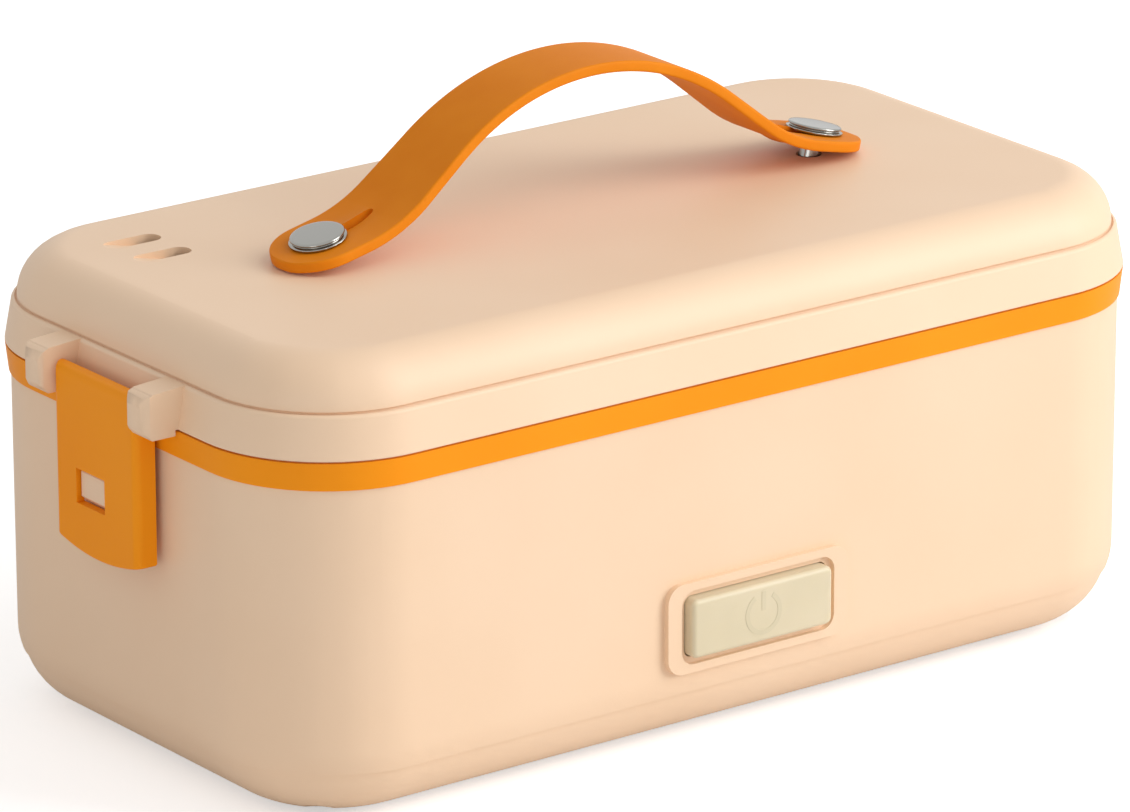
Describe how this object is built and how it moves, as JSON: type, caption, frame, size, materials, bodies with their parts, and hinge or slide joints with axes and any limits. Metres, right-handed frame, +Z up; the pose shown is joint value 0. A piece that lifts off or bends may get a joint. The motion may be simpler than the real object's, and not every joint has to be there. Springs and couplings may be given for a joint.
{
  "type": "electric lunch box",
  "caption": "Oblong electric lunch box: heated base, lift-off domed lid with strap handle, a swing latch at each end, front button, and a steel food container with an inner lid.",
  "frame": {"origin": "on the table under the middle of the box", "axes": "+X along the box's long side, -Y the front with the button, +Z up"},
  "size_m": [0.2574, 0.1326, 0.1387],
  "materials": {
    "beige_plastic": "fine matt moulded polypropylene, peach beige",
    "orange_plastic": "satin moulded polypropylene, warm orange",
    "orange_silicone": "matt silicone, warm orange",
    "button_silicone": "frosted translucent silicone, greenish ivory",
    "stainless": "brushed stainless steel",
    "bright_steel": "polished and plated steel",
    "aluminium": "drawn aluminium, satin",
    "food_lid_plastic": "semi-gloss white polypropylene",
    "clear_silicone": "milky silicone",
    "black_rubber": "matt rubber",
    "black_plastic": "matt engineering plastic",
    "brass": "nickel-free brass",
    "circuit_board": "green solder mask on glass laminate",
    "ceramic_white": "glazed ceramic sleeve"
  },
  "bodies": {
    "base": {"base_shell": "beige_plastic", "bottom_cover": "beige_plastic", "rubber_feet": "black_rubber", "bottom_screws": "bright_steel", "band_ring": "orange_plastic", "heating_basin": "aluminium", "ptc_heater": "aluminium", "heater_clamp": "stainless", "clamp_nuts": "bright_steel", "thermostat": "black_plastic", "thermal_fuse": "ceramic_white", "control_board": "circuit_board", "board_parts": "black_plastic", "board_screws": "bright_steel", "inlet_socket": "black_plastic", "inlet_pins": "brass", "switch_board": "circuit_board", "touch_switch": "black_plastic", "lamp": "clear_silicone", "switch_screws": "bright_steel"},
    "lid": {"lid_shell": "beige_plastic", "lid_liner": "food_lid_plastic", "liner_screws": "bright_steel", "lid_gasket": "clear_silicone", "strap_handle": "orange_silicone", "studs": "bright_steel", "stud_nuts": "stainless", "latch_pins": "stainless"},
    "left_latch": {"latch_left": "orange_plastic"},
    "right_latch": {"latch_right": "orange_plastic"},
    "container": {"food_container": "stainless"},
    "container_cover": {"container_lid": "food_lid_plastic", "container_gasket": "clear_silicone", "steam_valve": "orange_silicone"},
    "button": {"power_button": "button_silicone"}
  },
  "joints": [
    {"name": "lid_lift", "type": "slide", "parent": "base", "child": "lid", "axis": [0, 0, 1], "range_m": [0, 0.1]},
    {"name": "latch_left_swing", "type": "hinge", "parent": "lid", "child": "left_latch", "pos_m": [-0.1237, 0, 0.0874], "axis": [0, 1, 0], "range_deg": [0, 175.5]},
    {"name": "latch_right_swing", "type": "hinge", "parent": "lid", "child": "right_latch", "pos_m": [0.1237, 0, 0.0874], "axis": [0, -1, 0], "range_deg": [0, 175.5]},
    {"name": "container_lift", "type": "slide", "parent": "base", "child": "container", "axis": [0, 0, 1], "range_m": [0, 0.06]},
    {"name": "container_lid_lift", "type": "slide", "parent": "container", "child": "container_cover", "axis": [0, 0, 1], "range_m": [0, 0.015]},
    {"name": "button_press", "type": "slide", "parent": "base", "child": "button", "axis": [0, 1, 0], "range_m": [0, 0.001], "stiffness_N_per_m": 600, "springref_m": -0.0005}
  ],
  "couplings": [
    {"joint": "latch_left_swing", "follows": "lid_lift", "rad_per_m": 30.543},
    {"joint": "latch_right_swing", "follows": "lid_lift", "rad_per_m": 30.543},
    {"joint": "container_lift", "follows": "lid_lift", "ratio": 0.6},
    {"joint": "container_lid_lift", "follows": "lid_lift", "ratio": 0.15}
  ]
}
